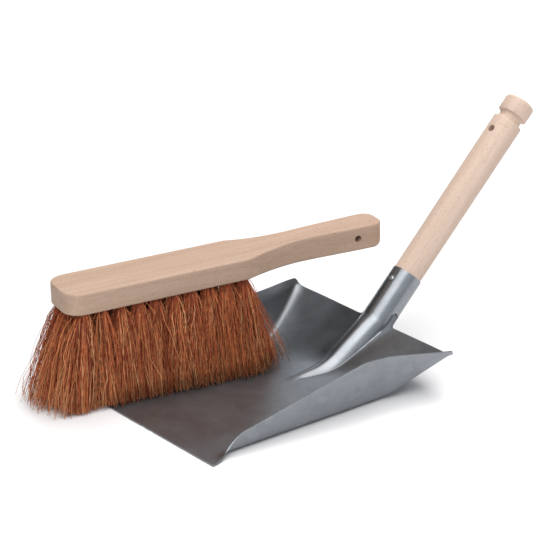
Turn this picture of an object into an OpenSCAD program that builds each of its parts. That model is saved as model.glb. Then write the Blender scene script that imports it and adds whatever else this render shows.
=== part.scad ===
// Dust pan and hand brush set: a pressed one-piece steel pan with a nailed turned handle,
// and a beech hand brush with coco fibre tufts that stands in the pan.
// Frame: +Y runs from the pan's mouth to its handle, +Z is up.
// The origin is the middle of the pan's flat underside.

/* [Pan floor and rear ramp] */
// Length of the flat floor, from the mouth to the start of the rear ramp
pan_l = 172; // [130:1:230]
// Width of the floor between the feet of the side walls
pan_w = 150; // [110:1:220]
// Thickness of the steel sheet
sheet_t = 0.8; // [0.6:0.05:1.2]
// Length of the rear ramp, seen from above
ramp_l = 66.5; // [45:0.5:90]
// Height of the rear rim at the middle
ramp_h = 28; // [18:0.5:40]
// Extra height of the rear rim at its corners
ramp_side_rise = 3; // [0:0.5:6]
// How far the rear corners stand out past the side walls' feet
corner_out = 22; // [10:0.5:35]
// How far the rear corners are swept forward
corner_sweep = 4.6; // [0:0.1:10]

/* [Pan side walls] */
// Height of the rim where its straight edge starts, behind the mouth
rim_front_h = 17.2; // [10:0.1:30]
// Height of the rim at its highest point
rim_top_h = 44.4; // [32:0.1:60]
// Height of the two rear corner tips
rim_tip_h = 36.7; // [33:0.1:50]
// Outward lean of the side walls, in millimetres for each millimetre of height
side_lean = 0.25; // [0.1:0.01:0.45]
// Length of the swept part of the rim behind the mouth
mouth_sweep_l = 36; // [20:1:60]
// Width of the flat ear at each mouth corner
mouth_ear_w = 9.7; // [5:0.1:16]
// Length of the rounded bend on each side of a wall's foot
side_bend = 6.2; // [3:0.1:9]

/* [Rib and socket] */
// Length of the pressed rib, from its point to the rear rim
rib_l = 96.5; // [70:0.5:120]
// Angle of the socket above the floor
socket_tilt = 45; // [35:1:55]
// Length of the closed socket
socket_l = 34; // [24:1:50]
// Length of the open neck between the rear rim and the socket
neck_l = 11; // [8:0.5:20]
// Gap between the end of the neck's flanges and the closed socket
neck_step = 2; // [1:0.1:4]
// Width of the flange on each side of the neck
flange_w = 5.5; // [3:0.5:9]
// Angle left open at the seam behind the socket, to each side of its middle
seam_angle = 3; // [1:0.5:10]
// Clearance between the socket and the handle
socket_gap = 0.15; // [0.1:0.05:0.4]

/* [Pan handle] */
// Diameter of the handle where it enters the socket
handle_d = 25; // [20:0.5:30]
// Diameter of the handle at its free end
handle_end_d = 26.5; // [20:0.5:34]
// Length of the handle outside the socket
handle_l = 179; // [120:1:260]
// Length of the handle inside the socket
handle_in = 32; // [20:1:44]
// Length of the knob at the free end
knob_l = 15.5; // [10:0.5:25]
// Width of the turned groove below the knob
groove_w = 5.5; // [3:0.5:10]
// Depth of the turned groove
groove_depth = 3; // [1:0.1:4]
// Diameter of the hanging hole
handle_hole_d = 6.5; // [4:0.1:8]
// Distance of the hanging hole from the free end
handle_hole_from_end = 36; // [30:0.5:50]

/* [Nail] */
// Diameter of the nail's shank
nail_d = 2; // [1.6:0.1:3]
// Diameter of the nail's head
nail_head_d = 4.4; // [3:0.1:6]
// Height of the nail's domed head
nail_head_h = 1.1; // [0.6:0.1:2]
// Depth of the nail below the socket's outer face
nail_depth = 13; // [8:0.5:20]
// Distance of the nail from the socket's open end
nail_from_end = 11; // [6:0.5:20]

/* [Brush stock] */
// Length of the wooden stock, from its front to the end of its handle
stock_l = 292; // [240:1:340]
// Length of the head, where the stock has its full width
head_l = 160; // [130:1:200]
// Width of the head
head_w = 47.5; // [42:0.5:60]
// Thickness of the head
head_t = 18.2; // [16:0.1:26]
// Width of the handle at its narrowest place
grip_w = 23.5; // [18:0.5:30]
// Width of the handle near its end
grip_end_w = 28; // [20:0.5:34]
// Thickness of the handle at its end
grip_end_t = 20.8; // [18:0.1:28]
// Length of the curved shoulder between the head and the handle
shoulder_l = 54; // [34:1:74]
// Radius of the head's front corners
head_corner_r = 15; // [6:0.5:18]
// Radius of the corners at the end of the handle
grip_corner_r = 10; // [5:0.5:11]
// Diameter of the hanging hole through the handle
grip_hole_d = 6; // [4:0.1:8]
// Distance of the hanging hole from the end of the handle
grip_hole_from_end = 25; // [15:0.5:40]

/* [Tufts] */
// Number of tufts in each of the four rows
tufts_per_row = 10; // [8:1:12]
// Distance of the first tufts of the outer rows from the stock's front
outer_first_y = 15; // [10:0.5:20]
// Distance of the first tufts of the inner rows from the stock's front
inner_first_y = 7.5; // [6:0.5:14]
// Distance of the last tufts of the outer rows from the end of the head
outer_last_space = 3.7; // [2:0.1:10]
// Diameter of the drilled tuft holes
tuft_hole_d = 6; // [5:0.1:6.4]
// Depth of the drilled tuft holes
tuft_hole_depth = 12; // [8:0.5:13]
// Clearance around a tuft in its hole
tuft_gap = 0.1; // [0.05:0.05:0.2]
// Distance from the head's edge to the middle of the outer rows
tuft_edge = 6.3; // [5:0.1:9]
// Distance between the two inner rows
inner_row_gap = 12; // [9:0.5:14]
// Thickness of the wire staple at the root of each tuft
staple_t = 1.4; // [0.8:0.1:2]

/* [Where the brush stands] */
// How far the front end of the stock stands out past the left edge of the pan's floor
brush_side_out = 13.3; // [8:0.1:20]
// How far the front end of the stock stands out past the pan's mouth
brush_front_out = 21.9; // [10:0.1:40]
// Height of the stock's underside at its front end
brush_z = 79.5; // [70:0.5:95]
// Space between the brush's handle and the pan's handle, seen from above
handle_space = 4.3; // [3:0.1:15]
// Rise of the brush towards its handle
brush_rise = 1.1; // [0:0.1:2]
// How far the tips in the pan reach past the head's edge
near_splay = 6.7; // [2:0.1:12]
// How far the tips outside the pan lean outwards
free_splay = 7; // [3:0.1:12]
// Space kept between the tufts and the pan
tuft_clear = 0.5; // [0.3:0.1:2]

/* [Hidden] */
TUFT_ROWS = ["far", "mid_far", "mid_near", "near"];
TUFT_NAMES = [for (row = TUFT_ROWS, i = [1 : tufts_per_row]) str("tuft_", row, "_", i)];

steel = "#8f9497";
nail_steel = "#c9ccce";
beech = "#e3c9b2";
stock_beech = "#d3ac90";
fibre = "#8f4b2b";

mouth_y = -pan_l / 2;
ramp_y = pan_l / 2;
rear_y = ramp_y + ramp_l;
rib_y = rear_y - rib_l;
tip_x = pan_w / 2 + corner_out;
ramp_ease = 0.36;             // share of the ramp that bends up from the floor
flare_y = ramp_y + 4;         // where the side walls start to flare
crease_power = 1.2;           // how early the corner crease turns outwards
tip_lean = 0.3;               // extra lean of the walls at the rear corners
rim_peak_y = ramp_y - 19;     // where the rising and the falling rim meet
rim_round = 1.2;              // softness of the rim's peak
ear_power = 1.6;              // how fast the mouth's ears narrow
rib_point_share = 0.3;        // width of the rib's point, as a share of the socket's
rib_power = 0.8;              // how fast the rib widens
rib_tilt_power = 1.5;         // how late the rib leans into the socket's direction
rib_round_power = 3;          // how late its crown turns into a tube

handle_r = handle_d / 2;
socket_r = handle_r + socket_gap + sheet_t / 2;   // middle of the rolled sheet
socket_start = neck_l + neck_step;
socket_end = socket_start + socket_l;

// Divisions of the sheet: columns count outwards from the middle of the pan.
rib_cols = 7;
flat_cols = 2;
bend_cols = 5;
wall_cols = 2;
wrap_cols = 7;
flange_col = rib_cols + 1;
bend_col = flange_col + flat_cols + 1;
wall_col = bend_col + bend_cols;
last_col = wall_col + wall_cols;
front_rows = 8;
floor_rows = 8;
rib_rows = 14;
neck_rows = 3;
socket_rows = 4;
rear_row = front_rows + floor_rows + rib_rows;
neck_row = rear_row + neck_rows;
last_row = neck_row + 1 + socket_rows;

function clamp01(v) = min(1, max(0, v));
function mix(a, b, t) = a + (b - a) * t;
function smooth(t) = t * t * (3 - 2 * t);
function soft_min(a, b, k) = (a + b - sqrt((a - b) * (a - b) + k * k)) / 2;

// ---- the sheet's middle surface ----

// Rise of the ramp, from 0 at the floor to 1 at the rear rim
function ramp_share(y) =
    let (t = clamp01((y - ramp_y) / ramp_l), k = 1 / (1 - ramp_ease / 2))
    t < ramp_ease ? k * t * t / (2 * ramp_ease) : k * (t - ramp_ease / 2);

function base_z(x, y) =
    sheet_t / 2 + (ramp_h - sheet_t / 2 + ramp_side_rise * pow(x / tip_x, 2)) * ramp_share(y);

// Along the ramp, points far from the middle are swept towards the mouth
function swept_y(x, y) =
    y - corner_sweep * pow(x / tip_x, 3) * clamp01((y - ramp_y) / ramp_l);

function on_base(x, y) = [x, swept_y(x, y), base_z(x, y)];

function rear_share(y) = clamp01((y - flare_y) / (rear_y - flare_y));
function mouth_share(y) = smooth(clamp01((y - mouth_y) / mouth_sweep_l));
function foot_x(y) = pan_w / 2 + corner_out * pow(rear_share(y), crease_power);

function rim_z(y) =
    let (straight_y = mouth_y + mouth_sweep_l,
         rise = (rim_top_h - rim_front_h) / (rim_peak_y - straight_y),
         fall = (rim_top_h - rim_tip_h) / (rear_y - rim_peak_y),
         rising = rim_front_h + rise * (y - straight_y),
         falling = rim_top_h - fall * (y - rim_peak_y))
    mix(sheet_t / 2, soft_min(rising, falling, rim_round), mouth_share(y));

function rim_point(y) =
    let (foot = foot_x(y),
         lean = side_lean + tip_lean * pow(rear_share(y), 2),
         height = rim_z(y) - base_z(foot, y),
         x = foot + lean * height + mouth_ear_w * pow(1 - mouth_share(y), ear_power))
    [x, swept_y(foot, y), rim_z(y)];

// The rib: a low crown at its point, which grows into half a tube at the neck
function rib_share(y) = clamp01((y - rib_y) / rib_l);
function rib_half_w(y) =
    socket_r * max(rib_point_share, sin(90 * pow(rib_share(y), rib_power)));
function rib_point(y, angle) =
    let (height = socket_r * rib_share(y),
         tilt = socket_tilt * pow(rib_share(y), rib_tilt_power),
         up = height * pow(cos(angle), mix(2, 1, pow(rib_share(y), rib_round_power))))
    [rib_half_w(y) * sin(angle), y - up * sin(tilt), base_z(0, y) + up * cos(tilt)];

function bezier(a, b, c, t) = mix(mix(a, b, t), mix(b, c, t), t);

// A point of the right half of the pan, in row y and column col
function pan_point(y, col) =
    let (flange_x = rib_half_w(y) + flange_w,
         foot = foot_x(y),
         corner = on_base(foot, y),
         rim = rim_point(y),
         wall = (rim - corner) / norm(rim - corner),
         bend_start = on_base(foot - side_bend, y),
         bend_end = corner + side_bend * wall)
    col <= rib_cols ? rib_point(y, 90 * col / rib_cols)
    : col < bend_col ? on_base(mix(flange_x, foot - side_bend, (col - flange_col) / (flat_cols + 1)), y)
    : col <= wall_col ? bezier(bend_start, corner, bend_end, (col - bend_col) / bend_cols)
    : mix(bend_end, rim, (col - wall_col) / wall_cols);

// Places on the socket's axis, and the direction that its front faces
axis_dir = [0, cos(socket_tilt), sin(socket_tilt)];
axis_front = [0, -sin(socket_tilt), cos(socket_tilt)];
function on_axis(s) = [0, rear_y, ramp_h] + s * axis_dir;
function round_axis(s, angle) =
    on_axis(s) + socket_r * (sin(angle) * [1, 0, 0] + cos(angle) * axis_front);

function neck_point(s, col) =
    col <= rib_cols ? round_axis(s, 90 * col / rib_cols)
    : on_axis(s) + [socket_r + flange_w, 0, 0];

function socket_point(s, col) =
    col <= rib_cols ? round_axis(s, 90 * col / rib_cols)
    : round_axis(s, mix(90, 180 - seam_angle, (col - rib_cols) / wrap_cols));

function row_y(row) =
    row < front_rows ? mix(mouth_y, mouth_y + mouth_sweep_l, row / front_rows)
    : row < front_rows + floor_rows
        ? mix(mouth_y + mouth_sweep_l, rib_y, (row - front_rows) / floor_rows)
    : mix(rib_y, rear_y, (row - front_rows - floor_rows) / rib_rows);

function half_point(row, col) =
    row <= rear_row ? pan_point(row_y(row), col)
    : row <= neck_row ? neck_point(neck_l * (row - rear_row) / neck_rows, col)
    : socket_point(socket_start + socket_l * (row - neck_row - 1) / socket_rows, col);

function sheet_point(row, col) =
    let (p = half_point(row, abs(col)))
    col < 0 ? [-p[0], p[1], p[2]] : p;

// ---- the sheet as one closed solid ----

function row_cols(row) =
    row <= rear_row ? last_col : row <= neck_row ? flange_col : rib_cols + wrap_cols;

// True where rows row and row + 1 are joined along a column
function joined(row, col) =
    row >= 0 && row < last_row && abs(col) <= min(row_cols(row), row_cols(row + 1))
    && (row != neck_row || abs(col) <= rib_cols);
function cell(row, col) = joined(row, col) && joined(row, col + 1);

function sheet_normal(row, col) =
    let (cols = row_cols(row),
         across = sheet_point(row, min(cols, col + 1)) - sheet_point(row, max(-cols, col - 1)),
         along = sheet_point(joined(row, col) ? row + 1 : row, col)
             - sheet_point(joined(row - 1, col) ? row - 1 : row, col),
         n = cross(across, along))
    n / norm(n);

function sheet_vertex(row, col, side) =
    sheet_point(row, col) + side * sheet_t / 2 * sheet_normal(row, col);

row_stride = 2 * (2 * last_col + 1);
function vertex_id(row, col, side) = row * row_stride + 2 * (col + last_col) + (side > 0 ? 0 : 1);

function quad(a, b, c, d, flip) = flip ? [[a, b, d], [b, c, d]] : [[a, b, c], [a, c, d]];

function cell_faces(row, col) =
    let (flip = col < 0,
         t = [for (k = [[0, 0], [1, 0], [1, 1], [0, 1]]) vertex_id(row + k[0], col + k[1], 1)],
         b = [for (k = [[0, 0], [1, 0], [1, 1], [0, 1]]) vertex_id(row + k[0], col + k[1], -1)])
    concat(
        quad(t[0], t[1], t[2], t[3], flip),
        quad(b[3], b[2], b[1], b[0], !flip),
        cell(row, col - 1) ? [] : quad(t[1], t[0], b[0], b[1], false),
        cell(row, col + 1) ? [] : quad(t[3], t[2], b[2], b[3], false),
        cell(row - 1, col) ? [] : quad(t[0], t[3], b[3], b[0], false),
        cell(row + 1, col) ? [] : quad(t[2], t[1], b[1], b[2], false));

module pressed_sheet() {
    points = [
        for (row = [0 : last_row], col = [-last_col : last_col], side = [1, -1])
            sheet_vertex(row, max(-row_cols(row), min(row_cols(row), col)), side)
    ];
    faces = [
        for (row = [0 : last_row - 1], col = [-last_col : last_col - 1])
            if (cell(row, col)) each cell_faces(row, col)
    ];
    polyhedron(points = points, faces = faces, convexity = 6);
}

// ---- the pan, its handle and its nail ----

// Puts what stands on the XY plane on the socket's axis, with +Z along the handle
module at_socket(s) {
    translate(on_axis(s)) rotate([socket_tilt - 90, 0, 0]) children();
}

// Puts what stands on the XY plane in the nail's place, with +Z out of the socket's front
module at_nail() {
    at_socket(socket_end - nail_from_end) rotate([90, 0, 0]) children();
}

nail_seat = socket_r + sheet_t / 2;
nail_tip_z = nail_seat - nail_depth;

module pan() {
    color(steel) difference() {
        pressed_sheet();
        at_nail() translate([0, 0, handle_r]) cylinder(d = nail_d, h = socket_r, $fn = 32);
    }
}

handle_start = -handle_in;
knob_z = handle_l - knob_l;
groove_z = knob_z - groove_w;
handle_slope = (handle_end_d - handle_d) / 2 / handle_l;
handle_chamfer = 1.5;
end_r = handle_end_d / 2;
end_round = 5;                // how far the knob's rounded end reaches inwards
end_dome = 3;                 // and how far it reaches back
end_crown = 0.4;              // rise of the middle of the end face
groove_round = 1.5;
groove_fillet = 0.6;
knob_edge = 0.2;
function handle_radius(z) = handle_r + handle_slope * max(0, z);

module handle_profile() {
    knob_r = handle_radius(knob_z);
    groove_r = knob_r - groove_depth;
    polygon(concat(
        [[0, handle_start], [handle_r - handle_chamfer, handle_start],
         [handle_r, handle_start + handle_chamfer], [handle_r, 0],
         [handle_radius(groove_z - groove_round), groove_z - groove_round],
         [groove_r + groove_fillet, groove_z], [groove_r, groove_z + groove_round],
         [groove_r, knob_z - groove_round], [groove_r + groove_fillet, knob_z],
         [knob_r - knob_edge, knob_z + knob_edge], [knob_r, knob_z + groove_round]],
        [for (a = [0 : 15 : 90])
            [end_r - end_round * (1 - cos(a)), handle_l - end_dome * (1 - sin(a))]],
        [[0, handle_l + end_crown]]));
}

module pan_handle() {
    color(beech) difference() {
        at_socket(socket_end) rotate_extrude($fn = 64) handle_profile();
        at_socket(socket_end + handle_l - handle_hole_from_end) rotate([90, 0, 0])
            cylinder(d = handle_hole_d, h = 2 * handle_end_d, center = true, $fn = 48);
        at_nail() translate([0, 0, nail_tip_z]) cylinder(d = nail_d, h = nail_depth, $fn = 32);
    }
}

nail_head_edge = 0.3;         // height of the straight edge of the nail's head

module handle_nail() {
    color(nail_steel) at_nail() rotate_extrude($fn = 32) polygon(concat(
        [[0, nail_tip_z], [nail_d / 2, nail_tip_z], [nail_d / 2, nail_seat], [nail_head_d / 2, nail_seat]],
        [for (a = [0 : 15 : 75])
            [nail_head_d / 2 * cos(a),
             nail_seat + nail_head_edge + (nail_head_h - nail_head_edge) * sin(a)]],
        [[0, nail_seat + nail_head_h]]));
}

// ---- the brush's wooden stock ----

brush_x = -pan_w / 2 - brush_side_out;
brush_y = mouth_y - brush_front_out;
grip_end_x = -(handle_end_d + grip_end_w) / 2 - handle_space;
brush_turn = asin((grip_end_x - brush_x) / stock_l);

// Stock coordinates: x across the head, y from the front to the handle, z up from the underside
function stock_to_set(p) =
    let (rise = [p[0], p[1] * cos(brush_rise) - p[2] * sin(brush_rise),
                 p[1] * sin(brush_rise) + p[2] * cos(brush_rise)])
    [brush_x + rise[0] * cos(brush_turn) + rise[1] * sin(brush_turn),
     brush_y - rise[0] * sin(brush_turn) + rise[1] * cos(brush_turn),
     brush_z + rise[2]];

module at_brush() {
    translate([brush_x, brush_y, brush_z]) rotate([0, 0, -brush_turn]) rotate([brush_rise, 0, 0])
        children();
}

grip_narrow_y = head_l + shoulder_l;
grip_end_y = stock_l - grip_corner_r;
shoulder_power = 1.75;        // how soon the shoulder draws in

// Half width of the stock behind its front corners
function stock_half_w(y) =
    let (t = clamp01((y - head_l) / (grip_narrow_y - head_l)),
         swell = smooth(clamp01((y - grip_narrow_y) / (grip_end_y - grip_narrow_y))))
    y < grip_narrow_y ? mix(grip_w, head_w, pow(1 - t, shoulder_power)) / 2
    : mix(grip_w, grip_end_w, swell) / 2;

module stock_outline() {
    right = concat(
        [for (a = [270 : 10 : 360])
            [head_w / 2 - head_corner_r + head_corner_r * cos(a), head_corner_r + head_corner_r * sin(a)]],
        [for (i = [0 : 16]) let (y = mix(head_l, grip_end_y, i / 16)) [stock_half_w(y), y]],
        [for (a = [10 : 10 : 90])
            [grip_end_w / 2 - grip_corner_r + grip_corner_r * cos(a), grip_end_y + grip_corner_r * sin(a)]]);
    left = [for (i = [len(right) - 1 : -1 : 0]) [-right[i][0], right[i][1]]];
    polygon(concat(right, left));
}

// Side view of the stock: y along it, z up
swell_from_end = 60;          // where the handle reaches its full thickness
lower_edge = 6;               // height of the rounded lower edge of the handle's end
lower_edge_l = 9.6;           // its length along the handle
lower_knee_l = 3;             // and the place of its knee, from the end and from below
lower_knee_h = 1.8;
upper_edge = 2;
overrun = 1;                  // the side view reaches past both ends of the outline

module stock_side() {
    swell_y = stock_l - swell_from_end;
    polygon(concat(
        [[-overrun, 0], [stock_l - lower_edge_l, 0], [stock_l - lower_knee_l, lower_knee_h],
         [stock_l + overrun, lower_edge], [stock_l + overrun, grip_end_t - upper_edge],
         [stock_l - 2 * upper_edge, grip_end_t]],
        [for (i = [0 : 8])
            [mix(swell_y, head_l, i / 8), mix(grip_end_t, head_t, smooth(i / 8))]],
        [[-overrun, head_t]]));
}

grip_hole_y = stock_l - grip_hole_from_end;
grip_hole_z = grip_end_t / 2;

module brush_stock() {
    color(stock_beech) at_brush() difference() {
        intersection() {
            linear_extrude(height = 2 * grip_end_t, convexity = 4) stock_outline();
            rotate([90, 0, 90]) linear_extrude(height = 2 * head_w, center = true, convexity = 4)
                stock_side();
        }
        translate([0, grip_hole_y, grip_hole_z]) rotate([0, 90, 0])
            cylinder(d = grip_hole_d, h = 2 * grip_end_w, center = true, $fn = 48);
        for (root = tuft_roots)
            translate([root[0], root[1], -overrun])
                cylinder(d = tuft_hole_d, h = tuft_hole_depth + overrun, $fn = 24);
    }
}

// ---- tufts ----

tuft_pitch = (head_l - outer_first_y - outer_last_space) / (tufts_per_row - 1);
row_x = [-head_w / 2 + tuft_edge, -inner_row_gap / 2, inner_row_gap / 2, head_w / 2 - tuft_edge];
function tuft_root(row, i) =
    [row_x[row], (row == 0 || row == 3 ? outer_first_y : inner_first_y) + tuft_pitch * i];
tuft_roots = [for (row = [0 : 3], i = [0 : tufts_per_row - 1]) tuft_root(row, i)];

tuft_d = tuft_hole_d - 2 * tuft_gap;
neck_in = 0.15;               // how much narrower the fibres are just below the hole
neck_h = 0.3;
tip_half_w = 2.8;             // half size of a tuft at its tips, across the brush
tip_space = 2.9;              // between neighbouring tufts of a row, at their tips
tip_half_l = (tuft_pitch - tip_space) / 2;
tip_pad = 1;

// Tufts near both ends of the head fan out along the brush, each row by its own length at the
// rear end
front_fan = 26;
front_fan_l = 34;
rear_fans = [24, 38, 46, 5];
rear_fan_l = 31;
fan_power = 1.4;
tufts_end_y = head_l - outer_last_space;
function fan(row, y) =
    rear_fans[row] * pow(clamp01((y - tufts_end_y + rear_fan_l) / rear_fan_l), fan_power)
    - front_fan * pow(clamp01(1 - y / front_fan_l), fan_power);

// Tips in the pan stand between these places across the brush
wall_space = 4;
first_foot_x = row_x[0] - free_splay;
last_foot_x = head_w / 2 + near_splay;
mid_free_splay = 3;
function inside_limit(y) =
    wall_space
    + (-foot_x(0) + side_bend + tuft_clear - brush_x - y * sin(brush_turn)) / cos(brush_turn);

function root_place(row, i) = let (root = tuft_root(row, i)) stock_to_set([root[0], root[1], 0]);
function foot_y(row, i) = let (y = tuft_root(row, i)[1]) y + fan(row, y);
function foot_place(row, i, x) = stock_to_set([x, foot_y(row, i), 0]);

// A tuft hangs outside the pan if its root is no further in than this from the left wall's
// rim, or if it comes down before the mouth.
far_reach = 4;
mouth_reach = 1;
function tuft_outside(row, i) =
    row == 0 ? root_place(row, i)[0] + rim_point(root_place(row, i)[1])[0] < far_reach
    : row == 1 && foot_place(row, i, row_x[row])[1] < mouth_y + mouth_reach;

// Across the pan, the furthest place in where the foot of a tuft outside the pan clears the rim
function free_limit(row, i) =
    let (root = root_place(row, i),
         rim = rim_point(max(mouth_y, foot_place(row, i, row_x[row])[1])),
         share = rim[2] / root[2],
         edge = -rim[0] - sheet_t - tuft_clear - tuft_d / 2)
    (edge - share * root[0]) / (1 - share);

function foot_across(row, i) =
    let (y = tuft_root(row, i)[1],
         inner = tuft_outside(0, i) ? 1 : 0,
         share = (row - inner) / (3 - inner),
         spread = mix(first_foot_x, last_foot_x, row / 3),
         first_in = max(inside_limit(y), mix(first_foot_x, last_foot_x, inner / 3)))
    tuft_outside(row, i) ? (row == 0 ? first_foot_x : row_x[1] - mid_free_splay)
    : foot_place(row, i, spread)[1] < mouth_y - tip_half_l ? spread
    : mix(first_in, last_foot_x, share);

// Tips in the pan stand on its sheet, as high as the sheet lies under their rear edge
function tuft_foot(row, i) =
    let (p = foot_place(row, i, foot_across(row, i)),
         outside = tuft_outside(row, i),
         on_pan = !outside && p[1] + tip_half_l > mouth_y,
         sheet_top = base_z(p[0], p[1] + tip_half_l + tip_half_w) + sheet_t / 2)
    [outside ? min(p[0], free_limit(row, i)) : p[0], p[1], on_pan ? sheet_top + tuft_clear : 0];

module tuft(row, i) {
    root = tuft_root(row, i);
    foot = tuft_foot(row, i);
    color(fibre) union() {
        at_brush() difference() {
            translate([root[0], root[1], 0])
                cylinder(d = tuft_d, h = tuft_hole_depth, $fn = 24);
            staple_at(root);
        }
        hull() {
            at_brush() translate([root[0], root[1], 0])
                cylinder(d = tuft_d - 2 * neck_in, h = neck_h, $fn = 20);
            translate(foot) rotate([0, 0, -brush_turn]) scale([tip_half_w, tip_half_l, 1])
                cylinder(r = 1, h = tip_pad, $fn = 20);
        }
    }
}

staple_w = 1.8;
staple_end_space = 0.3;
staple_l = tuft_hole_d - 2 * staple_end_space;

module staple_at(root) {
    translate([root[0] - staple_w / 2, root[1] - staple_l / 2, tuft_hole_depth - staple_t])
        cube([staple_w, staple_l, staple_t]);
}

module tuft_staples() {
    color(nail_steel) at_brush() for (root = tuft_roots) staple_at(root);
}

pan();
pan_handle();
handle_nail();
brush_stock();
tuft_staples();
for (row = [0 : 3], i = [0 : tufts_per_row - 1])
    tuft(row, i);
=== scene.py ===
import math
import random

import bmesh
import bpy
from mathutils import Matrix, Vector


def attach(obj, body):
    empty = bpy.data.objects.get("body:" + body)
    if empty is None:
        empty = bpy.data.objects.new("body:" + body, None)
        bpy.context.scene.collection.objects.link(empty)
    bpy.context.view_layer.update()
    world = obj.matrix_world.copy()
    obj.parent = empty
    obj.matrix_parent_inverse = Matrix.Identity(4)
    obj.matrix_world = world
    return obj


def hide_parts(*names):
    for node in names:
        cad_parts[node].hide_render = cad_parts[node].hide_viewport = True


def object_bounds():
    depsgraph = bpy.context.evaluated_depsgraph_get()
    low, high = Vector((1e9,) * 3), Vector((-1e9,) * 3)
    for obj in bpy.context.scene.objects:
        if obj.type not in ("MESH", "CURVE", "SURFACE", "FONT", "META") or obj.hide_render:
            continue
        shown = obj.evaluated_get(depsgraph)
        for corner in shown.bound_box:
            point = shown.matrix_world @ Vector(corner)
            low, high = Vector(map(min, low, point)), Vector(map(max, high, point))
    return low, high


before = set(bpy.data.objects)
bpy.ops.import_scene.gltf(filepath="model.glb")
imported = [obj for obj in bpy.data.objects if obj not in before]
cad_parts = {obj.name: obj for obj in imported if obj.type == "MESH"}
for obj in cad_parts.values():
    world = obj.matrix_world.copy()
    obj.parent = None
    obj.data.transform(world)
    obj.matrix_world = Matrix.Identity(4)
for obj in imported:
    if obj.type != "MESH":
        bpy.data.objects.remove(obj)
cad_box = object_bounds()
bpy.ops.object.select_all(action="DESELECT")

MM = 0.001


# ---- small helpers ----

def linear(hex_colour):
    """An sRGB hex colour as linear RGBA."""
    out = []
    for k in (0, 2, 4):
        c = int(hex_colour[k:k + 2], 16) / 255
        out.append(c / 12.92 if c <= 0.04045 else ((c + 0.055) / 1.055) ** 2.4)
    return (*out, 1.0)


def mix(a, b, t):
    return a + (b - a) * t


def clamp01(v):
    return min(1.0, max(0.0, v))


def smooth(t):
    return t * t * (3 - 2 * t)


def new_material(name):
    material = bpy.data.materials.new(name)
    material.use_nodes = True
    shader = material.node_tree.nodes["Principled BSDF"]
    return material, material.node_tree, shader


def add_node(tree, kind, settings=None, inputs=None, links=None):
    """Adds a node: its settings, its input values, and {input: (other node, output)} links."""
    node = tree.nodes.new(kind)
    for key, value in (settings or {}).items():
        setattr(node, key, value)
    for key, value in (inputs or {}).items():
        node.inputs[key].default_value = value
    for key, (other, output) in (links or {}).items():
        tree.links.new(other.outputs[output], node.inputs[key])
    return node


def set_stops(ramp, stops):
    """Colour ramp stops as (place, colour)."""
    elements = ramp.color_ramp.elements
    while len(elements) > 1:
        elements.remove(elements[-1])
    elements[0].position, elements[0].color = stops[0]
    for place, colour in stops[1:]:
        elements.new(place).color = colour


def added(name, operator, **settings):
    """Adds a primitive under a name of its own."""
    bpy.ops.object.select_all(action="DESELECT")
    operator(**settings)
    piece = bpy.context.object
    piece.name = name
    piece.data.name = name
    return piece


def settle(piece):
    """Leaves the piece's place in its mesh, with its object at the origin."""
    piece.data.transform(piece.matrix_basis)
    piece.matrix_basis = Matrix()


def pick(piece, kind, test):
    """Selects the corners, edges or faces that pass a test, and stays in edit mode."""
    bpy.context.view_layer.objects.active = piece
    bpy.ops.object.mode_set(mode="EDIT")
    bpy.ops.mesh.select_mode(type=kind)
    bpy.ops.mesh.select_all(action="DESELECT")
    mesh = bmesh.from_edit_mesh(piece.data)
    for item in {"VERT": mesh.verts, "EDGE": mesh.edges, "FACE": mesh.faces}[kind]:
        if test(item):
            item.select_set(True)
    mesh.select_flush(True)
    bmesh.update_edit_mesh(piece.data)


def done():
    bpy.ops.object.mode_set(mode="OBJECT")


def finish_with(piece, kind, **settings):
    """Adds a modifier and applies it."""
    bpy.context.view_layer.objects.active = piece
    modifier = piece.modifiers.new(kind.title(), kind)
    for key, value in settings.items():
        setattr(modifier, key, value)
    bpy.ops.object.modifier_apply(modifier=modifier.name)


def smooth_faces(piece, degrees):
    bpy.ops.object.select_all(action="DESELECT")
    piece.select_set(True)
    bpy.context.view_layer.objects.active = piece
    bpy.ops.object.shade_smooth_by_angle(angle=math.radians(degrees))


def keep_places(piece, name):
    """Keeps each corner's present place, in millimetres, as an attribute for the grain."""
    places = piece.data.attributes.new(name, "FLOAT_VECTOR", "POINT")
    flat = [c / MM for v in piece.data.vertices for c in v.co]
    places.data.foreach_set("vector", flat)


# ---- camera, light and floor ----

CAMERA_PLACE = Vector((1.4635, -1.1411, 0.8679))
CAMERA_YAW = 51.02
CAMERA_DIP = 22.25

camera_data = bpy.data.cameras.new("Camera")
camera_data.lens = 166.2
camera_data.sensor_width = 36
camera = bpy.data.objects.new("Camera", camera_data)
camera.location = CAMERA_PLACE
camera.rotation_euler = (math.radians(90 - CAMERA_DIP), 0, math.radians(CAMERA_YAW))
bpy.context.scene.collection.objects.link(camera)
bpy.context.scene.camera = camera
bpy.context.scene.view_settings.view_transform = "Standard"


def softbox(name, place, target, width, depth, power, colour="ffffff", spread=180):
    light = bpy.data.lights.new(name, "AREA")
    light.shape = "RECTANGLE"
    light.size = width
    light.size_y = depth
    light.energy = power
    light.color = linear(colour)[:3]
    light.spread = math.radians(spread)
    lamp = bpy.data.objects.new(name, light)
    lamp.location = place
    lamp.rotation_euler = (Vector(target) - Vector(place)).to_track_quat("-Z", "Y").to_euler()
    bpy.context.scene.collection.objects.link(lamp)
    return lamp


softbox("overhead_softbox", (0.45, -0.10, 1.5), (0.45, -0.10, 0.0), 1.7, 2.0, 31, "fffdfb")
softbox("backdrop_wash", (-1.25, 1.05, 1.3), (-1.25, 1.05, 0.0), 0.6, 0.6, 16, "ffffff", 85)

rear_wash = softbox("rear_wash", (-0.35, 0.95, 1.2), (0.0, 0.35, 0.0), 0.5, 0.5, 0.8, "ffffff", 90)
rear_wash.visible_glossy = False

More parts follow.
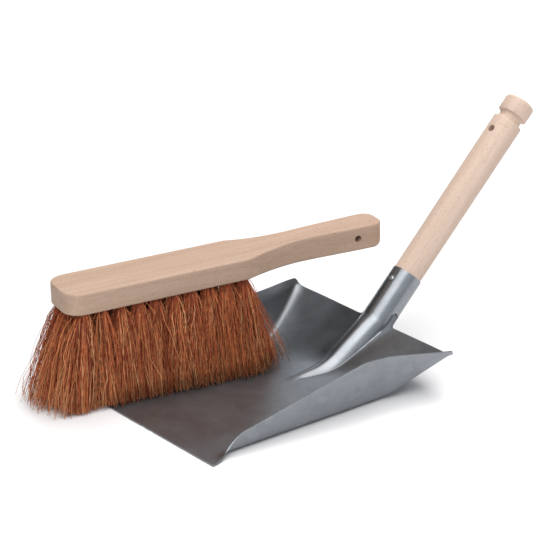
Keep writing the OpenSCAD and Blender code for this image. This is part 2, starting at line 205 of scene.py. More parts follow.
# Even daylight from behind and above, soft at the edges, that leaves no spot on the metal
daylight_data = bpy.data.lights.new("daylight", "SUN")
daylight_data.energy = 1.0
daylight_data.angle = math.radians(32)
daylight = bpy.data.objects.new("daylight", daylight_data)
daylight.rotation_euler = (math.radians(-18), math.radians(-21), 0)
daylight.visible_glossy = False
bpy.context.scene.collection.objects.link(daylight)

# A dim room all round, with a pale backdrop behind the set and a fill card in front of it
world = bpy.data.worlds.new("Studio")
bpy.context.scene.world = world
world.use_nodes = True
room = world.node_tree
room_light = room.nodes["Background"]
looked_at = add_node(room, "ShaderNodeTexCoord")
towards_backdrop = add_node(room, "ShaderNodeVectorMath", {"operation": "DOT_PRODUCT"},
                            {1: (-0.74, 0.60, 0.30)}, {0: (looked_at, "Generated")})
backdrop = add_node(room, "ShaderNodeMapRange", {"interpolation_type": "SMOOTHSTEP"},
                    {"From Min": 0.8, "From Max": 0.99, "To Min": 0.03, "To Max": 1.05},
                    {"Value": (towards_backdrop, "Value")})
towards_fill = add_node(room, "ShaderNodeVectorMath", {"operation": "DOT_PRODUCT"},
                        {1: (0.80, -0.55, 0.25)}, {0: (looked_at, "Generated")})
fill = add_node(room, "ShaderNodeMapRange", {"interpolation_type": "SMOOTHSTEP"},
                {"From Min": 0.35, "From Max": 0.95, "To Min": 0.0, "To Max": 0.98},
                {"Value": (towards_fill, "Value")})
room_strength = add_node(room, "ShaderNodeMath", {"operation": "ADD"}, None,
                         {0: (backdrop, "Result"), 1: (fill, "Result")})
room.links.new(room_strength.outputs["Value"], room_light.inputs["Strength"])
room_light.inputs["Color"].default_value = linear("e9edf2")

FLOOR_W, FLOOR_GAP = 14, 0.4 * MM      # the set stands just above the paper
paper, _, paper_shader = new_material("white_paper")
paper_shader.inputs["Base Color"].default_value = linear("ececed")
paper_shader.inputs["Roughness"].default_value = 0.9
floor = added("floor", bpy.ops.mesh.primitive_plane_add, size=FLOOR_W, location=(0, 0, -FLOOR_GAP))
settle(floor)
floor.data.materials.append(paper)


# ---- materials ----

# Galvanised sheet steel: a grey zinc coat with a soft satin gloss, a faint patchwork of zinc
# crystals 8 mm across, fine mill grain, and a few dull smears. It is glossier where the press
# has rubbed it, on the rib and the socket.
def galvanised_steel():
    material, tree, shader = new_material("galvanised_steel")
    place = add_node(tree, "ShaderNodeTexCoord")
    crystals = add_node(tree, "ShaderNodeTexVoronoi", {"feature": "F1"},
                        {"Scale": 125.0, "Randomness": 1.0}, {"Vector": (place, "Object")})
    crystal_tone = add_node(tree, "ShaderNodeSeparateColor", None, None,
                            {"Color": (crystals, "Color")})
    grain = add_node(tree, "ShaderNodeTexNoise", None,
                     {"Scale": 900.0, "Detail": 3.0, "Roughness": 0.6},
                     {"Vector": (place, "Object")})
    smears = add_node(tree, "ShaderNodeTexNoise", None,
                      {"Scale": 28.0, "Detail": 4.0, "Roughness": 0.55, "Distortion": 0.8},
                      {"Vector": (place, "Object")})
    tone = add_node(tree, "ShaderNodeMix", {"data_type": "FLOAT"}, {"Factor": 0.8},
                    {"A": (crystal_tone, "Red"), "B": (grain, "Fac")})
    colour = add_node(tree, "ShaderNodeValToRGB", None, None, {"Fac": (tone, "Result")})
    set_stops(colour, [(0.2, linear("81858a")), (0.8, linear("989ca1"))])
    tree.links.new(colour.outputs["Color"], shader.inputs["Base Color"])
    dull = add_node(tree, "ShaderNodeMapRange", None,
                    {"From Min": 0.3, "From Max": 0.7, "To Min": 0.38, "To Max": 0.47},
                    {"Value": (smears, "Fac")})
    rubbed = add_node(tree, "ShaderNodeAttribute", {"attribute_name": "rubbed"})
    gloss = add_node(tree, "ShaderNodeMath", {"operation": "MULTIPLY_ADD"}, {1: -0.12},
                     {0: (rubbed, "Fac"), 2: (dull, "Result")})
    tree.links.new(gloss.outputs["Value"], shader.inputs["Roughness"])
    bump = add_node(tree, "ShaderNodeBump", None, {"Strength": 0.2, "Distance": 0.0002},
                    {"Height": (grain, "Fac")})
    tree.links.new(bump.outputs["Normal"], shader.inputs["Normal"])
    shader.inputs["Metallic"].default_value = 0.94
    return material


# Beech, sanded and left bare: pale pinkish tan, straight grain along the piece, and the short
# dark flecks of its rays, 2 mm long.
def beech(name, light, dark, fleck):
    material, tree, shader = new_material(name)
    place = add_node(tree, "ShaderNodeAttribute", {"attribute_name": "grain_place"})
    drawn_out = add_node(tree, "ShaderNodeMapping", None, {"Scale": (1.0, 0.035, 1.0)},
                         {"Vector": (place, "Vector")})
    bands = add_node(tree, "ShaderNodeTexNoise", None,
                     {"Scale": 0.16, "Detail": 3.0, "Roughness": 0.55, "Distortion": 0.6},
                     {"Vector": (drawn_out, "Vector")})
    fibres = add_node(tree, "ShaderNodeTexNoise", None,
                      {"Scale": 1.3, "Detail": 3.0, "Roughness": 0.6},
                      {"Vector": (drawn_out, "Vector")})
    tone = add_node(tree, "ShaderNodeMix", {"data_type": "FLOAT"}, {"Factor": 0.45},
                    {"A": (bands, "Fac"), "B": (fibres, "Fac")})
    colour = add_node(tree, "ShaderNodeValToRGB", None, None, {"Fac": (tone, "Result")})
    set_stops(colour, [(0.33, linear(dark)), (0.67, linear(light))])
    short = add_node(tree, "ShaderNodeMapping", None, {"Scale": (1.7, 0.45, 1.7)},
                     {"Vector": (place, "Vector")})
    rays = add_node(tree, "ShaderNodeTexNoise", None,
                    {"Scale": 1.0, "Detail": 1.0, "Roughness": 0.5}, {"Vector": (short, "Vector")})
    fleck_share = add_node(tree, "ShaderNodeMapRange", None,
                           {"From Min": 0.62, "From Max": 0.72, "To Min": 0.0, "To Max": 0.55},
                           {"Value": (rays, "Fac")})
    flecked = add_node(tree, "ShaderNodeMix", {"data_type": "RGBA"}, {"B": linear(fleck)},
                       {"Factor": (fleck_share, "Result"), "A": (colour, "Color")})
    tree.links.new(flecked.outputs["Result"], shader.inputs["Base Color"])
    gloss = add_node(tree, "ShaderNodeMapRange", None, {"To Min": 0.5, "To Max": 0.66},
                     {"Value": (fibres, "Fac")})
    tree.links.new(gloss.outputs["Result"], shader.inputs["Roughness"])
    bump = add_node(tree, "ShaderNodeBump", None, {"Strength": 0.15, "Distance": 0.0002},
                    {"Height": (fibres, "Fac")})
    tree.links.new(bump.outputs["Normal"], shader.inputs["Normal"])
    return material


# Coco fibre: coarse dry hair from the coconut's husk, dark brown to light orange from one fibre to the
# next, and a little glossy along each. Along each fibre the colour is darker near the root, as painted
# shade under the stock, and lighter towards the tip.
def coco_fibre():
    material, tree, shader = new_material("coco_fibre")
    tint = add_node(tree, "ShaderNodeAttribute", {"attribute_name": "fibre_tint"})
    colour = add_node(tree, "ShaderNodeValToRGB", None, None, {"Fac": (tint, "Fac")})
    set_stops(colour, [(0.0, linear("5c2313")), (0.3, linear("a94f2f")), (0.65, linear("dc8552")),
                       (1.0, linear("f2bb86"))])
    place = add_node(tree, "ShaderNodeTexCoord")
    mottle = add_node(tree, "ShaderNodeTexNoise", None,
                      {"Scale": 260.0, "Detail": 2.0}, {"Vector": (place, "Object")})
    shade = add_node(tree, "ShaderNodeMapRange", None,
                     {"From Min": 0.3, "From Max": 0.7, "To Min": 0.72, "To Max": 1.18},
                     {"Value": (mottle, "Fac")})
    toned = add_node(tree, "ShaderNodeVectorMath", {"operation": "SCALE"}, None,
                     {0: (colour, "Color"), "Scale": (shade, "Result")})
    tree.links.new(toned.outputs["Vector"], shader.inputs["Base Color"])
    shader.inputs["Roughness"].default_value = 0.5
    shader.inputs["Specular IOR Level"].default_value = 0.35
    return material


# Bright drawn steel wire: the nail and the staples, a little scuffed by the hammer.
def wire_steel():
    material, tree, shader = new_material("wire_steel")
    place = add_node(tree, "ShaderNodeTexCoord")
    scuffs = add_node(tree, "ShaderNodeTexNoise", None,
                      {"Scale": 1400.0, "Detail": 3.0}, {"Vector": (place, "Object")})
    colour = add_node(tree, "ShaderNodeValToRGB", None, None, {"Fac": (scuffs, "Fac")})
    set_stops(colour, [(0.35, linear("a9acae")), (0.65, linear("cfd2d4"))])
    tree.links.new(colour.outputs["Color"], shader.inputs["Base Color"])
    gloss = add_node(tree, "ShaderNodeMapRange", None, {"To Min": 0.22, "To Max": 0.45},
                     {"Value": (scuffs, "Fac")})
    tree.links.new(gloss.outputs["Result"], shader.inputs["Roughness"])
    shader.inputs["Metallic"].default_value = 1.0
    return material


STEEL = galvanised_steel()
HANDLE_BEECH = beech("turned_beech", "d4bdae", "c5ab97", "9b7963")
STOCK_BEECH = beech("planed_beech", "bda18e", "aa8c76", "7e5e47")
COCO = coco_fibre()
WIRE = wire_steel()


# ---- the pan: one sheet, pressed ----

SHEET = 0.8
PAN_W, PAN_L = 150.0, 172.0
MOUTH_Y, RAMP_Y = -PAN_L / 2, PAN_L / 2
RAMP_L, RAMP_H, RAMP_SIDE_RISE = 66.5, 28.0, 3.0
REAR_Y = RAMP_Y + RAMP_L
CORNER_OUT, CORNER_SWEEP = 22.0, 4.6
TIP_X = PAN_W / 2 + CORNER_OUT
RIM_FRONT_H, RIM_TOP_H, RIM_TIP_H = 17.2, 44.4, 36.7
MOUTH_SWEEP_L, MOUTH_EAR_W = 36.0, 9.7
SIDE_BEND, REAR_BEND = 6.2, 11.0
TIP_ROUND, TIP_DROP = 5.0, 2.6    # the rear tips are cut round
RIB_L = 96.5
RIB_Y = REAR_Y - RIB_L
SOCKET_TILT = 45.0
HANDLE_D, SOCKET_GAP = 25.0, 0.15
SOCKET_R = HANDLE_D / 2 + SOCKET_GAP + SHEET / 2
NECK_L, NECK_STEP, SOCKET_L = 11.0, 2.0, 34.0
FLANGE_W = 5.5
SEAM_ANGLE = 3.0
LIP_L = 12.0                # the mouth's lip is pressed this far in
LIP_STEP, LIP_DROP = 2.0, 0.25
RAMP_EASE = 0.36            # share of the ramp that curves up from the floor
FLARE_Y = RAMP_Y + 4        # the side walls' feet part from here on
CREASE_POWER = 1.2
PEAK_Y = RAMP_Y - 19        # where the rim is highest
RIM_ROUND = 1.2
SIDE_LEAN, TIP_LEAN = 0.25, 0.3
EAR_POWER = 1.6
BEND_SHARE = 0.75           # most of a low wall that its bend may take up
RIB_POINT_SHARE, RIB_POWER, RIB_TILT_POWER, RIB_ROUND_POWER = 0.3, 0.8, 1.5, 3

RIB_COLS, FLANGE_COLS, FLAT_COLS, BEND_COLS, WALL_COLS, WRAP_COLS = 14, 3, 14, 9, 8, 14
FLANGE_COL = RIB_COLS + FLANGE_COLS
BEND_COL = FLANGE_COL + FLAT_COLS
WALL_COL = BEND_COL + BEND_COLS
LAST_COL = WALL_COL + WALL_COLS
FRONT_ROWS, FLOOR_ROWS, RIB_ROWS, NECK_ROWS, SOCKET_ROWS = 22, 22, 50, 7, 12
REAR_ROW = FRONT_ROWS + FLOOR_ROWS + RIB_ROWS
NECK_ROW = REAR_ROW + NECK_ROWS
LAST_ROW = NECK_ROW + 1 + SOCKET_ROWS


def ramp_share(y):
    t = clamp01((y - RAMP_Y) / RAMP_L)
    k = 1 / (1 - RAMP_EASE / 2)
    return k * t * t / (2 * RAMP_EASE) if t < RAMP_EASE else k * (t - RAMP_EASE / 2)


def base_z(x, y):
    lip = LIP_DROP * smooth(clamp01((y - MOUTH_Y - LIP_L) / LIP_STEP)) * (1 - ramp_share(y))
    rise = RAMP_H - SHEET / 2 + RAMP_SIDE_RISE * (x / TIP_X) ** 2
    return SHEET / 2 + lip + rise * ramp_share(y)


def swept_y(x, y):
    return y - CORNER_SWEEP * (abs(x) / TIP_X) ** 3 * clamp01((y - RAMP_Y) / RAMP_L)


def on_base(x, y):
    return Vector((x, swept_y(x, y), base_z(x, y)))


def rear_share(y):
    return clamp01((y - FLARE_Y) / (REAR_Y - FLARE_Y))


def mouth_share(y):
    return smooth(clamp01((y - MOUTH_Y) / MOUTH_SWEEP_L))


def foot_x(y):
    return PAN_W / 2 + CORNER_OUT * rear_share(y) ** CREASE_POWER


def rim_z(y):
    straight_y = MOUTH_Y + MOUTH_SWEEP_L
    rising = RIM_FRONT_H + (RIM_TOP_H - RIM_FRONT_H) / (PEAK_Y - straight_y) * (y - straight_y)
    falling = RIM_TOP_H - (RIM_TOP_H - RIM_TIP_H) / (REAR_Y - PEAK_Y) * (y - PEAK_Y)
    low = (rising + falling - math.sqrt((rising - falling) ** 2 + RIM_ROUND ** 2)) / 2
    return mix(SHEET / 2, low, mouth_share(y))


def rim_point(y):
    foot = foot_x(y)
    lean = SIDE_LEAN + TIP_LEAN * rear_share(y) ** 2
    tip = clamp01((y - REAR_Y + TIP_ROUND) / TIP_ROUND)
    z = rim_z(y) - TIP_DROP * (1 - math.sqrt(1 - tip * tip))
    x = foot + lean * (z - base_z(foot, y)) + MOUTH_EAR_W * (1 - mouth_share(y)) ** EAR_POWER
    return Vector((x, swept_y(foot, y), z))


def rib_share(y):
    return clamp01((y - RIB_Y) / RIB_L)


def rib_half_w(y):
    return SOCKET_R * max(RIB_POINT_SHARE, math.sin(math.pi / 2 * rib_share(y) ** RIB_POWER))


def rib_point(y, angle):
    share = rib_share(y)
    tilt = math.radians(SOCKET_TILT) * share ** RIB_TILT_POWER
    up = SOCKET_R * share * max(0.0, math.cos(angle)) ** mix(2, 1, share ** RIB_ROUND_POWER)
    return Vector((rib_half_w(y) * math.sin(angle), y - up * math.sin(tilt),
                   base_z(0, y) + up * math.cos(tilt)))


def side_bend(y):
    return mix(SIDE_BEND, REAR_BEND, rear_share(y))


def pan_point(y, col):
    if col <= RIB_COLS:
        return rib_point(y, math.pi / 2 * col / RIB_COLS)
    foot, half_w = foot_x(y), rib_half_w(y)
    if col <= FLANGE_COL:
        return on_base(half_w + FLANGE_W * (col - RIB_COLS) / FLANGE_COLS, y)
    if col < BEND_COL:
        return on_base(mix(half_w + FLANGE_W, foot - side_bend(y), (col - FLANGE_COL) / FLAT_COLS), y)
    corner, rim = on_base(foot, y), rim_point(y)
    wall = rim - corner
    start = on_base(foot - side_bend(y), y)
    end = corner + min(SIDE_BEND, BEND_SHARE * wall.length) * wall.normalized()
    if col <= WALL_COL:
        t = (col - BEND_COL) / BEND_COLS
        return start.lerp(corner, t).lerp(corner.lerp(end, t), t)
    return end.lerp(rim, (col - WALL_COL) / WALL_COLS)


AXIS = Vector((0, math.cos(math.radians(SOCKET_TILT)), math.sin(math.radians(SOCKET_TILT))))
AXIS_FRONT = Vector((0, -AXIS.z, AXIS.y))


def on_axis(s):
    return Vector((0, REAR_Y, RAMP_H)) + s * AXIS


def round_axis(s, angle):
    return on_axis(s) + SOCKET_R * (math.sin(angle) * Vector((1, 0, 0)) + math.cos(angle) * AXIS_FRONT)


def sheet_place(row, col):
    """Where the sheet's middle lies, for one corner of its grid."""
    side, col = (-1 if col < 0 else 1), abs(col)
    if row <= REAR_ROW:
        if row < FRONT_ROWS:
            y = mix(MOUTH_Y, MOUTH_Y + MOUTH_SWEEP_L, row / FRONT_ROWS)
        elif row < FRONT_ROWS + FLOOR_ROWS:
            y = mix(MOUTH_Y + MOUTH_SWEEP_L, RIB_Y, (row - FRONT_ROWS) / FLOOR_ROWS)
        else:
            y = mix(RIB_Y, REAR_Y, (row - FRONT_ROWS - FLOOR_ROWS) / RIB_ROWS)
        place = pan_point(y, col)
    elif row <= NECK_ROW:
        s = NECK_L * (row - REAR_ROW) / NECK_ROWS
        if col <= RIB_COLS:
            place = round_axis(s, math.pi / 2 * col / RIB_COLS)
        else:
            place = on_axis(s) + Vector((SOCKET_R + FLANGE_W * (col - RIB_COLS) / FLANGE_COLS, 0, 0))
    else:
        s = NECK_L + NECK_STEP + SOCKET_L * (row - NECK_ROW - 1) / SOCKET_ROWS
        turn = 90 * col / RIB_COLS if col <= RIB_COLS \
            else mix(90, 180 - SEAM_ANGLE, (col - RIB_COLS) / WRAP_COLS)
        place = round_axis(s, math.radians(turn))
    return Vector((side * place.x, place.y, place.z)) * MM


def cut_to(row):
    """The last column of the cut sheet between this row and the next."""
    if row < REAR_ROW:
        return LAST_COL
    if row < NECK_ROW:
        return FLANGE_COL
    return RIB_COLS if row == NECK_ROW else RIB_COLS + WRAP_COLS


# The press rubs the rib bright over its first rows, and fades out in the last columns beside it
RUB_ROWS, RUB_COL, RUB_FADE = 12, BEND_COL - 8, 6
FILLET_NEAR, FILLET_FAR = 0.12, 0.42
PAN_SMOOTH = 50


def press_pan():
    pan = added("pan_sheet", bpy.ops.mesh.primitive_grid_add, x_subdivisions=2 * LAST_COL,
                y_subdivisions=LAST_ROW, size=2)
    # each corner of the flat grid knows its row and its column
    where = {}
    for v in pan.data.vertices:
        where[v.index] = (round((v.co.y + 1) / 2 * LAST_ROW), round(v.co.x * LAST_COL))

    def cut_away(face):
        rows = [where[v.index][0] for v in face.verts]
        cols = [where[v.index][1] for v in face.verts]
        return max(max(cols), -min(cols)) > cut_to(min(rows))

    pick(pan, "FACE", cut_away)
    mesh = bmesh.from_edit_mesh(pan.data)
    rubbed = mesh.verts.layers.float.new("rubbed")
    soft = [v for v in mesh.verts if abs(where[v.index][1]) in (RIB_COLS - 1, RIB_COLS, RIB_COLS + 1)
            and where[v.index][0] < REAR_ROW - 3]
    for v in mesh.verts:
        row, col = where[v.index]
        v.co = sheet_place(row, col)
        along = clamp01((row - FRONT_ROWS - FLOOR_ROWS) / RUB_ROWS)
        v[rubbed] = along * clamp01((RUB_COL - abs(col)) / RUB_FADE)
    # the press leaves a soft hollow along the rib's foot
    for _ in range(2):
        bmesh.ops.smooth_vert(mesh, verts=soft, factor=0.5,
                              use_axis_x=True, use_axis_y=True, use_axis_z=True)
    # small round fillets where the neck's flanges leave the rear rim
    places = {where[v.index]: v for v in mesh.verts}
    for side in (-1, 1):
        corner = places[(REAR_ROW, side * FLANGE_COL)]
        rim = places[(REAR_ROW, side * (FLANGE_COL + 1))]
        neck = places[(REAR_ROW + 2, side * FLANGE_COL)]
        between = places[(REAR_ROW + 1, side * FLANGE_COL)]
        to_rim, to_neck = rim.co - corner.co, neck.co - corner.co
        bend = [corner.co + FILLET_FAR * to_rim + FILLET_NEAR * to_neck,
                corner.co + FILLET_NEAR * to_rim + FILLET_FAR * to_neck]
        arc = [rim] + [mesh.verts.new(p) for p in bend] + [neck]
        fans = [(corner, arc[0], arc[1]), (corner, arc[1], arc[2], between), (between, arc[2], arc[3])]
        for corners in fans:
            mesh.faces.new(corners if side < 0 else corners[::-1])
    bmesh.update_edit_mesh(pan.data)
    bpy.ops.mesh.delete(type="FACE")
    bpy.ops.mesh.select_all(action="SELECT")
    bpy.ops.mesh.normals_make_consistent(inside=False)
    done()
    finish_with(pan, "SOLIDIFY", thickness=SHEET * MM, offset=0, use_even_offset=True)
    smooth_faces(pan, PAN_SMOOTH)
    pan.data.materials.append(STEEL)
    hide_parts("pan")
    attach(pan, "dustpan")
    return pan


press_pan()


# ---- the pan's turned handle ----

HANDLE_END_D, HANDLE_L, HANDLE_IN = 26.5, 179.0, 32.0
KNOB_L, GROOVE_W, GROOVE_DEPTH = 15.5, 5.5, 3.0
GROOVE_FILLET, SHOULDER_R, KNOB_EDGE = 0.8, 2.2, 1.1
END_ROUND, END_DOME, END_CROWN = 5.0, 3.2, 0.4
INNER_CHAMFER = 1.5
HANDLE_HOLE_D, HANDLE_HOLE_FROM_END = 6.5, 36.0
SOCKET_END = NECK_L + NECK_STEP + SOCKET_L
to_socket = (Matrix.Translation(on_axis(SOCKET_END) * MM)
             @ Matrix.Rotation(math.radians(SOCKET_TILT - 90), 4, "X"))


def handle_radius(z):
    return HANDLE_D / 2 + (HANDLE_END_D - HANDLE_D) / 2 / HANDLE_L * max(0.0, z)


def turning_profile():
    knob_z = HANDLE_L - KNOB_L
    groove_z = knob_z - GROOVE_W
    groove_r = handle_radius(knob_z) - GROOVE_DEPTH
    end_r = HANDLE_END_D / 2
    profile = [(0, -HANDLE_IN), (HANDLE_D / 2 - INNER_CHAMFER, -HANDLE_IN),
               (HANDLE_D / 2, -HANDLE_IN + INNER_CHAMFER)]
    profile += [(handle_radius(z), z) for z in (0, 30, 60, 90, 120, groove_z - SHOULDER_R)]
    # rounded shoulder, hollow and far shoulder of the groove
    for k in range(1, 6):
        a = math.radians(18 * k)
        profile.append((groove_r + GROOVE_FILLET + (GROOVE_DEPTH - GROOVE_FILLET) * math.cos(a),
                        groove_z - SHOULDER_R + SHOULDER_R * math.sin(a)))
    profile += [(groove_r + 0.2, groove_z + 0.7), (groove_r, groove_z + 1.6), (groove_r, knob_z - 1.6),
                (groove_r + 0.2, knob_z - 0.7)]
    for k in range(5, -1, -1):
        a = math.radians(18 * k)
        profile.append((handle_radius(knob_z) - (GROOVE_DEPTH - GROOVE_FILLET) * (1 - math.cos(a)),
                        knob_z + KNOB_EDGE - KNOB_EDGE * math.sin(a)))
    for k in range(0, 10):
        a = math.radians(10 * k)
        profile.append((end_r - END_ROUND + END_ROUND * math.cos(a),
                        HANDLE_L - END_DOME + END_DOME * math.sin(a)))
    profile += [(end_r - END_ROUND - 2, HANDLE_L + 0.25), (0, HANDLE_L + END_CROWN)]
    return profile


def drill(piece, name, radius, start, end):
    """Cuts a round hole from start to end, both in metres."""
    along = Vector(end) - Vector(start)
    bit = added(name, bpy.ops.mesh.primitive_cylinder_add, vertices=48, radius=radius,
                depth=along.length, location=(Vector(start) + Vector(end)) / 2,
                rotation=along.to_track_quat("Z", "Y").to_euler())
    settle(bit)
    finish_with(piece, "BOOLEAN", operation="DIFFERENCE", solver="EXACT", object=bit)
    bpy.data.objects.remove(bit)


def turn_handle():
    corners = [(r * MM, 0, z * MM) for r, z in turning_profile()]
    handle = added("turned_handle", bpy.ops.mesh.primitive_plane_add, size=1)
    handle.data.clear_geometry()
    handle.data.from_pydata(corners, [(k, k + 1) for k in range(len(corners) - 1)], [])
    finish_with(handle, "SCREW", steps=72, render_steps=72, use_merge_vertices=True,
                merge_threshold=0.00001, use_smooth_shade=True)
    pick(handle, "VERT", lambda v: True)
    bpy.ops.mesh.remove_doubles(threshold=0.00001)
    bpy.ops.mesh.normals_make_consistent(inside=False)
    done()
    z = HANDLE_L - HANDLE_HOLE_FROM_END
    drill(handle, "hole_bit", HANDLE_HOLE_D / 2 * MM, (0, -0.03, z * MM), (0, 0.03, z * MM))
    # the grain runs along the handle
    handle.data.transform(Matrix.Rotation(math.radians(-90), 4, "X"))
    keep_places(handle, "grain_place")
    handle.data.transform(to_socket @ Matrix.Rotation(math.radians(90), 4, "X"))
    smooth_faces(handle, 40)
    handle.data.materials.append(HANDLE_BEECH)
    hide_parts("pan_handle")
    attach(handle, "dustpan")
    return handle


turn_handle()


# ---- the brush's stock ----

STOCK_L, HEAD_L, HEAD_W, HEAD_T = 292.0, 160.0, 47.5, 18.2
GRIP_W, GRIP_END_W, GRIP_END_T, SHOULDER_L = 23.5, 28.0, 20.8, 54.0
HEAD_CORNER_R, GRIP_CORNER_R = 15.0, 10.0
GRIP_HOLE_D, GRIP_HOLE_FROM_END = 6.0, 25.0
SHOULDER_POWER = 1.75
SWELL_FROM_END = 60.0       # where the handle reaches its full thickness
LOWER_EDGE, LOWER_EDGE_L = 6.0, 10.0
TOP_R, UNDER_R, EDGE_HOLD = 1.5, 1.2, 0.8
BRUSH_SIDE_OUT, BRUSH_FRONT_OUT, BRUSH_Z = 13.3, 21.9, 79.5
HANDLE_SPACE = 4.3
BRUSH_PLACE = Vector((-PAN_W / 2 - BRUSH_SIDE_OUT, MOUTH_Y - BRUSH_FRONT_OUT, BRUSH_Z))
BRUSH_TURN = math.asin((-(HANDLE_END_D + GRIP_END_W) / 2 - HANDLE_SPACE - BRUSH_PLACE.x) / STOCK_L)
BRUSH_RISE = math.radians(1.1)
to_set = (Matrix.Translation(BRUSH_PLACE * MM) @ Matrix.Rotation(-BRUSH_TURN, 4, "Z")
          @ Matrix.Rotation(BRUSH_RISE, 4, "X"))


def stock_half_w(y):
    narrow_y = HEAD_L + SHOULDER_L
    if y < narrow_y:
        t = clamp01((y - HEAD_L) / SHOULDER_L)
        return mix(GRIP_W, HEAD_W, (1 - t) ** SHOULDER_POWER) / 2
    swell = smooth(clamp01((y - narrow_y) / (STOCK_L - GRIP_CORNER_R - narrow_y)))
    return mix(GRIP_W, GRIP_END_W, swell) / 2


def stock_top(y):
    return mix(HEAD_T, GRIP_END_T, smooth(clamp01((y - HEAD_L) / (STOCK_L - SWELL_FROM_END - HEAD_L))))


def stock_under(y):
    back = clamp01((y - STOCK_L + LOWER_EDGE_L) / LOWER_EDGE_L)
    return LOWER_EDGE * (1 - math.sqrt(1 - back * back))


def stock_outline():
    """The right half of the stock's outline, from the front edge to the end of the handle."""
    right = []
    for k in range(13):
        a = math.radians(-90 + 7.5 * k)
        right.append(Vector((HEAD_W / 2 - HEAD_CORNER_R + HEAD_CORNER_R * math.cos(a),
                             HEAD_CORNER_R + HEAD_CORNER_R * math.sin(a))))
    end_y = STOCK_L - GRIP_CORNER_R
    steps = 48
    for k in range(1, steps + 1):
        y = mix(HEAD_CORNER_R, end_y, k / steps)
        right.append(Vector((stock_half_w(y), y)))
    for k in range(1, 11):
        a = math.radians(9 * k)
        right.append(Vector((GRIP_END_W / 2 - GRIP_CORNER_R + GRIP_CORNER_R * math.cos(a),
                             end_y + GRIP_CORNER_R * math.sin(a))))
    return right


def shape_stock():
    right = stock_outline()
    loop = right + [Vector((-p.x, p.y)) for p in reversed(right)]
    count = len(loop)
    outwards = []
    for k in range(count):
        edge = loop[(k + 1) % count] - loop[k - 1]
        outwards.append(Vector((edge.y, -edge.x)).normalized())
    # rings from underneath to the top: how far in, how far above the underside, or below the top
    rings = [(UNDER_R + EDGE_HOLD, 0, False)]
    for k in range(4):
        a = math.radians(30 * k)
        rings.append((UNDER_R * (1 - math.sin(a)), UNDER_R * (1 - math.cos(a)), False))
    rings += [(0, UNDER_R + EDGE_HOLD, False), (0, TOP_R + EDGE_HOLD, True)]
    for k in range(5):
        a = math.radians(22.5 * k)
        rings.append((TOP_R * (1 - math.cos(a)), TOP_R * (1 - math.sin(a)), True))
    rings.append((TOP_R + EDGE_HOLD, 0, True))
    corners, faces = [], []
    for inset, height, from_top in rings:
        for p, out in zip(loop, outwards):
            q = p - out * inset
            z = stock_top(p.y) - height if from_top else stock_under(p.y) + height
            corners.append((q.x * MM, q.y * MM, z * MM))
    for ring in range(len(rings) - 1):
        for k in range(count):
            a, b = ring * count + k, ring * count + (k + 1) % count
            faces.append((a, b, b + count, a + count))
    last = (len(rings) - 1) * count
    for k in range(len(right) - 1):
        a, b = k, count - 1 - k
        faces.append((a, b, b - 1, a + 1))
        faces.append((last + a, last + a + 1, last + b - 1, last + b))
    stock = added("stock", bpy.ops.mesh.primitive_plane_add, size=1)
    stock.data.clear_geometry()
    stock.data.from_pydata(corners, [], faces)
    y, z = STOCK_L - GRIP_HOLE_FROM_END, GRIP_END_T / 2
    drill(stock, "hole_bit", GRIP_HOLE_D / 2 * MM, (-0.03, y * MM, z * MM), (0.03, y * MM, z * MM))
    keep_places(stock, "grain_place")
    stock.data.transform(to_set)
    smooth_faces(stock, 35)
    stock.data.materials.append(STOCK_BEECH)
    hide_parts("brush_stock")
    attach(stock, "brush")
    return stock


shape_stock()


# ---- coco fibre tufts ----

ACROSS = to_set.to_3x3() @ Vector((1, 0, 0))
ALONG = to_set.to_3x3() @ Vector((0, 1, 0))
UP = to_set.to_3x3() @ Vector((0, 0, 1))
HOLE_DEPTH = 12.0 * MM
ROOT_R = 2.85 * MM
STRAND_RINGS = 10
TUFTS_PER_ROW = 10
FIBRES = {"near": 330, "mid_near": 190, "mid_far": 160, "far": 230}
# how far the tips spread across the brush, towards the pan's left and right
SPREAD = {"near": (6.0, 6.0), "mid_near": (7.0, 7.0), "mid_far": (4.0, 7.0), "far": (5.5, 2.5)}
TIP_SPREAD = 9.5            # and along the brush
STRAY_X, STRAY_Y = 5.0 * MM, 11.0 * MM
# shares of loose fibres, in the tufts at both ends of the brush and in the others, and of short ones
LOOSE_AT_ENDS, LOOSE, SHORT = 0.42, 0.26, 0.10
FIBRE_RADII = (0.2, 0.26, 0.32, 0.4)


def tuft_ends(node):
    """Where a tuft leaves its hole, and where the middle of its tips stands."""
    points = [v.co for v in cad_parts[node].data.vertices]
    low = min(p.z for p in points)
    foot = [p for p in points if p.z < low + 0.2 * MM]
    top = max(p.dot(UP) for p in points)
    root = [p for p in points if p.dot(UP) > top - 0.2 * MM]
    return sum(root, Vector()) / len(root) - UP * HOLE_DEPTH, sum(foot, Vector()) / len(foot)


def strand_path(rng, start, end, lean, wild):
    """A fibre's course: along its tuft's lean, soon apart from the others, and a little curly."""
    drop = (end - start).dot(UP)
    apart = (end - start) - UP * drop - lean
    early = rng.uniform(0.06, 0.34)
    turn = start + UP * drop * early + lean * early * 1.15 + apart * rng.uniform(0.45, 0.9)
    turn += (ACROSS * rng.gauss(0, 0.4) + ALONG * rng.gauss(0, 0.8)) * MM * wild
    waves = []
    for direction in (ACROSS, ALONG):
        for pace in (rng.uniform(0.4, 1.0), rng.uniform(1.2, 2.2), rng.uniform(2.6, 4.4)):
            size = rng.uniform(0.5, 2.8) * MM * wild / (0.6 + pace)
            waves.append((direction * size, 2 * math.pi * pace, rng.uniform(0, 2 * math.pi)))
    path = []
    for k in range(STRAND_RINGS):
        t = k / (STRAND_RINGS - 1)
        p = start.lerp(turn, t).lerp(turn.lerp(end, t), t)
        grow = t ** 0.8
        for push, pace, lag in waves:
            p = p + push * grow * math.sin(pace * t + lag)
        path.append(p)
    return path


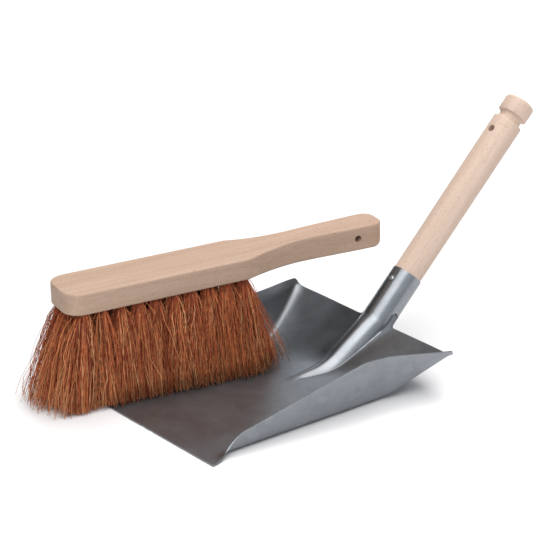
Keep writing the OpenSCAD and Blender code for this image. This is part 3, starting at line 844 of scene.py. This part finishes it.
def within_reach(p):
    """Stray fibres stop a little outside the set's own box."""
    low, high = cad_box
    return Vector((max(p.x, low[0] - STRAY_X), min(max(p.y, low[1] - STRAY_Y), high[1]), p.z))


def bind_tuft(row, number, rng):
    node = "tuft_%s_%d" % (row, number)
    root, foot = tuft_ends(node)
    lean = (foot - root) - UP * (foot - root).dot(UP)
    left, right = SPREAD[row]
    along, count = TIP_SPREAD, FIBRES[row]
    if number == 1:
        # the first tufts are fuller and lie open, so that no gap shows at the brush's front
        along, count = 1.15 * TIP_SPREAD, int(1.6 * count)
        left *= 1.6 if row != "far" else 1
    corners, faces, tints = [], [], []
    for _ in range(count):
        angle = rng.uniform(0, 2 * math.pi)
        out = math.sqrt(rng.random())
        ux, uy = out * math.cos(angle), out * math.sin(angle)
        start = root + UP * 1.5 * MM + ACROSS * ux * ROOT_R + ALONG * uy * ROOT_R
        loose = rng.random() < (LOOSE_AT_ENDS if number in (1, TUFTS_PER_ROW) else LOOSE)
        wild = rng.uniform(1.6, 3.2) if loose else rng.uniform(0.6, 1.4)
        # most fibres keep their side of the tuft and spread towards the tips, some cross over
        ux = min(1.0, max(-1.0, ux + rng.gauss(0, 0.3)))
        uy = min(1.15, max(-1.15, uy + rng.gauss(0, 0.4)))
        end = foot + ACROSS * ux * (right if ux > 0 else left) * MM + ALONG * uy * along * MM
        end += ALONG * rng.gauss(0, (8.5 if loose else 1.8) * MM)
        end.z = foot.z + abs(rng.gauss(0, 1.8 * MM)) * (1.0 + 0.6 * abs(ux)) + 0.3 * MM
        if rng.random() < SHORT:
            end = end.lerp(start, rng.uniform(0.05, 0.3))
        path = [within_reach(p) for p in strand_path(rng, start, end, lean, wild)]
        thick = rng.choice(FIBRE_RADII) * MM
        tint = clamp01(rng.gauss(0.44, 0.27))
        first = len(corners)
        for k, p in enumerate(path):
            t = k / (STRAND_RINGS - 1)
            radius = thick * (1 - 0.4 * t)
            for c in range(3):
                a = 2 * math.pi * c / 3 + angle + 0.6 * t
                corners.append(p + ACROSS * radius * math.cos(a) + ALONG * radius * math.sin(a))
                # painted shade: the colour darkens towards the root, where the fibres go in under the
                # stock; the last term lightens the tip
                shade = 0.62 + 0.38 * min(1.0, t * 3.2)
                tints.append(clamp01(tint * shade + 0.16 * t ** 3))
        for k in range(STRAND_RINGS - 1):
            for c in range(3):
                a, b = first + 3 * k + c, first + 3 * k + (c + 1) % 3
                faces.append((a, a + 3, b + 3, b))
        last = first + 3 * (STRAND_RINGS - 1)
        faces.append((last, last + 2, last + 1))
        faces.append((first, first + 1, first + 2))
    mesh = bpy.data.meshes.new(node + "_fibres")
    mesh.from_pydata([tuple(p) for p in corners], [], faces)
    mesh.attributes.new("fibre_tint", "FLOAT", "POINT").data.foreach_set("value", tints)
    mesh.shade_smooth()
    tuft = bpy.data.objects.new(node + "_fibres", mesh)
    bpy.context.scene.collection.objects.link(tuft)
    tuft.data.materials.append(COCO)
    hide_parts(node)
    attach(tuft, "brush")


rng = random.Random(7)
for row in ("far", "mid_far", "mid_near", "near"):
    for number in range(1, TUFTS_PER_ROW + 1):
        bind_tuft(row, number, rng)


# ---- the nail and the staples keep their own shape ----

for node in ("handle_nail", "tuft_staples"):
    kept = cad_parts[node]
    kept.data.materials.clear()
    kept.data.materials.append(WIRE)
